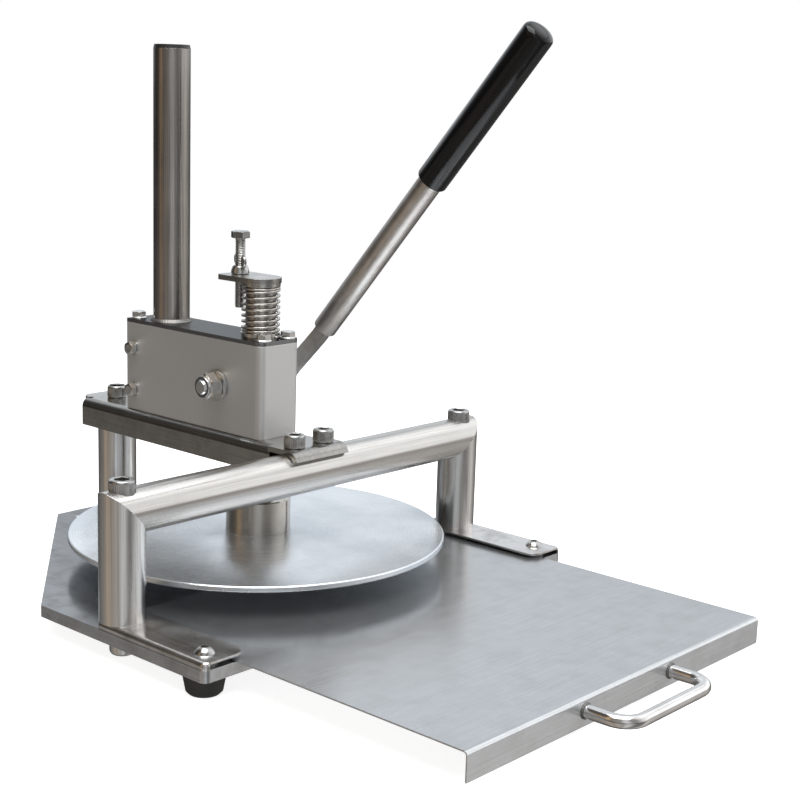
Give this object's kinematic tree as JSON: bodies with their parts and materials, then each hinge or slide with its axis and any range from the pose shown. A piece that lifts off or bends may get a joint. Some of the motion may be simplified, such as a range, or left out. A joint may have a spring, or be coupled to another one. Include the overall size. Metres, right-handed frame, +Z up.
{
  "type": "manual dough press",
  "caption": "Hand press for dough: a side lever turns a crank that drives a round plate down onto a sliding tray, and a coil spring lifts it again.",
  "frame": {"origin": "on the floor under the middle of the whole press, with the tray pulled out as in the picture", "axes": "+X to the right seen from the tray's handle, the tray pulls out towards -Y, +Z up"},
  "size_m": [0.38, 0.5856, 0.432],
  "materials": {
    "satin_stainless": "satin brushed",
    "polished_stainless": "polished",
    "blasted_steel": "matt, bead-blasted",
    "turned_steel": "finely turned",
    "tray_steel": "bright sheet",
    "fastener_steel": "bright",
    "spring_steel": "bright wire",
    "black_plastic": "gloss",
    "nylon": "matt",
    "black_rubber": "matt"
  },
  "bodies": {
    "frame": {"base_pan": "satin_stainless", "left_rail": "polished_stainless", "right_rail": "polished_stainless", "rail_spacers": "satin_stainless", "rubber_feet": "black_rubber", "front_foot_bolts": "fastener_steel", "front_foot_nuts": "fastener_steel", "rear_foot_screws": "fastener_steel", "left_post": "polished_stainless", "right_post": "polished_stainless", "crossbar": "polished_stainless", "corner_plugs": "satin_stainless", "portal_screws": "fastener_steel", "portal_nuts": "fastener_steel", "rear_post": "polished_stainless", "rear_post_screw": "fastener_steel", "rear_post_nut": "fastener_steel", "channel_beam": "satin_stainless", "crossbar_insert": "satin_stainless", "saddle_screws": "fastener_steel", "head_housing": "blasted_steel", "rear_block": "satin_stainless", "side_bolts": "fastener_steel", "side_washers": "fastener_steel", "housing_screws": "fastener_steel", "head_lid": "polished_stainless", "lid_bolts": "fastener_steel", "column": "polished_stainless", "column_cap": "black_plastic", "upper_bush": "satin_stainless", "lower_bush": "satin_stainless", "return_spring": "spring_steel"},
    "lever": {"lever_shaft": "fastener_steel", "shaft_washer": "fastener_steel", "shaft_nut": "fastener_steel", "shaft_nut_insert": "nylon", "crank_arm": "satin_stainless", "lever_bar": "polished_stainless", "lever_tube": "polished_stainless", "lever_grip": "black_plastic"},
    "ram": {"ram": "polished_stainless", "press_disc": "turned_steel", "disc_hub": "turned_steel", "disc_screw": "fastener_steel", "spring_cup": "satin_stainless", "cap_plate": "satin_stainless"},
    "stop_bolt": {"stop_bolt": "fastener_steel"},
    "wing_nut": {"wing_nut": "fastener_steel"},
    "tray": {"tray": "tray_steel", "tray_handle": "polished_stainless"}
  },
  "joints": [
    {"name": "lever_pull", "type": "hinge", "parent": "frame", "child": "lever", "pos_m": [0, 0.11675, 0.1575], "axis": [1, 0, 0], "range_deg": [0, 34.2]},
    {"name": "ram_press", "type": "slide", "parent": "frame", "child": "ram", "axis": [0, 0, -1], "range_m": [0, 0.015], "stiffness_N_per_m": 3000, "springref_m": -0.03, "deforming": ["return_spring"]},
    {"name": "stop_set", "type": "slide", "parent": "ram", "child": "stop_bolt", "axis": [0, 0, 1], "range_m": [-0.004, 0.01]},
    {"name": "wing_turn", "type": "hinge", "parent": "ram", "child": "wing_nut", "pos_m": [0, 0.11475, 0.245], "axis": [0, 0, 1], "continuous": true},
    {"name": "tray_slide", "type": "slide", "parent": "frame", "child": "tray", "axis": [0, 1, 0], "range_m": [0, 0.19]}
  ],
  "couplings": [
    {"joint": "ram_press", "follows": "lever_pull", "m_per_rad": 0.025123}
  ]
}
